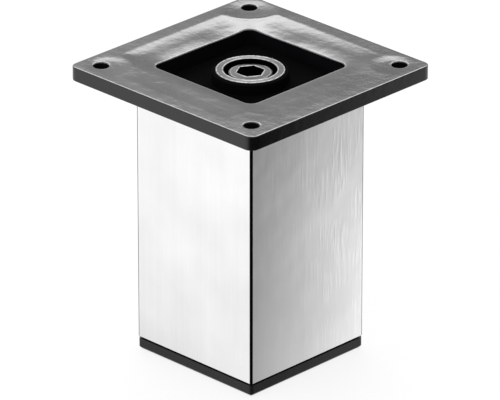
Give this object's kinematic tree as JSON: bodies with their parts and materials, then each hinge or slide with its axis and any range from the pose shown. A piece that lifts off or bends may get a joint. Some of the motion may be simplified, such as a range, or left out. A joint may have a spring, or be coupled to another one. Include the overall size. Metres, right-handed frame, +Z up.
{
  "type": "square metal table leg",
  "caption": "Short square metal furniture leg with a black screw-on plate and a black foot that a central spindle lowers to level the furniture.",
  "frame": {"origin": "centre of the foot's underside with the foot retracted, where the leg stands on the floor", "axes": "+Z up towards the mounting plate; the plate's and the tube's sides run along X and Y"},
  "size_m": [0.095, 0.095, 0.116],
  "materials": {
    "plate_black": "semi-gloss black coating",
    "brushed_tube": "brushed along the leg",
    "plug_black": "matt moulded",
    "bush_steel": "turned",
    "spindle_steel": "turned",
    "foot_black": "fine moulded grain",
    "washer_steel": "plain",
    "ring_steel": "spring steel"
  },
  "bodies": {
    "leg": {"mounting_plate": "plate_black", "leg_tube": "brushed_tube", "top_plug": "plug_black", "threaded_bush": "bush_steel"},
    "foot": {"foot": "foot_black", "thrust_washer": "washer_steel"},
    "spindle": {"spindle": "spindle_steel", "retaining_ring": "ring_steel"}
  },
  "joints": [
    {"name": "foot_slide", "type": "slide", "parent": "leg", "child": "foot", "axis": [0, 0, -1], "range_m": [0, 0.014]},
    {"name": "spindle_turn", "type": "hinge", "parent": "foot", "child": "spindle", "pos_m": [0, 0, 0.05], "axis": [0, 0, -1], "range_deg": [0, 2880]}
  ],
  "couplings": [
    {"joint": "spindle_turn", "follows": "foot_slide", "rad_per_m": 3590.4}
  ]
}
